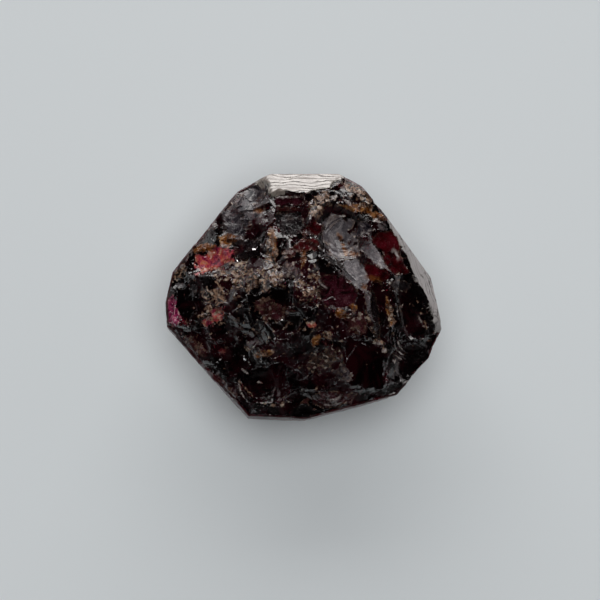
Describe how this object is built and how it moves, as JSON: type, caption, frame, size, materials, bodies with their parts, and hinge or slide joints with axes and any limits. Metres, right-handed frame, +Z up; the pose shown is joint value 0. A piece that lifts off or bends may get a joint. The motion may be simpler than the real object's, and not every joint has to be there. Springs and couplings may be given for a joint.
{
  "type": "garnet crystal",
  "caption": "Loose dark red garnet crystal with flat natural sides and a rough broken top, lying on its flat underside.",
  "frame": {"origin": "on the flat underside, below the middle of the crystal", "axes": "+Z up from the flat underside, +Y towards the striated bevel, +X towards the long girdle edge"},
  "size_m": [0.0314, 0.0283, 0.0188],
  "materials": {
    "garnet": "dark wine red, glassy on the breaks and worn on the natural faces"
  },
  "bodies": {
    "root": {"garnet_crystal": "garnet"}
  },
  "joints": []
}
